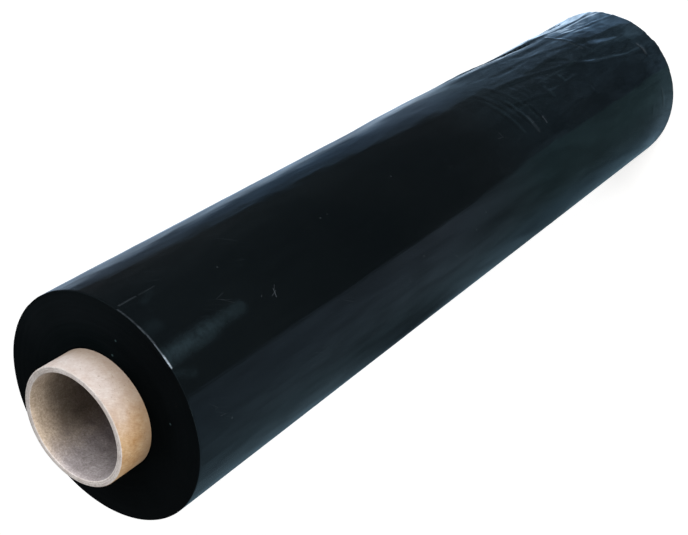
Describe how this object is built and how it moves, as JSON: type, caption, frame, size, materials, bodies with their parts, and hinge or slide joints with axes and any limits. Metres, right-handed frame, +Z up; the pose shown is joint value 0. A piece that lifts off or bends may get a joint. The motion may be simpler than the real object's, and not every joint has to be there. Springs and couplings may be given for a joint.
{
  "type": "stretch wrap roll",
  "caption": "Hand roll of black stretch film wound on a paperboard core tube that stands out at both ends.",
  "frame": {"origin": "centre of the core's lower ring, on the surface that the roll stands on", "axes": "+Z up the roll's axis, towards the end that the picture shows; +X towards the picture's upper left side of the roll"},
  "size_m": [0.1098, 0.1105, 0.535],
  "materials": {
    "paperboard": "matt kraft paperboard, wound in plies, with a rough cut rim",
    "black_film": "glossy black stretch film with a faint blue sheen"
  },
  "bodies": {
    "root": {"core_tube": "paperboard", "film_roll": "black_film"}
  },
  "joints": []
}
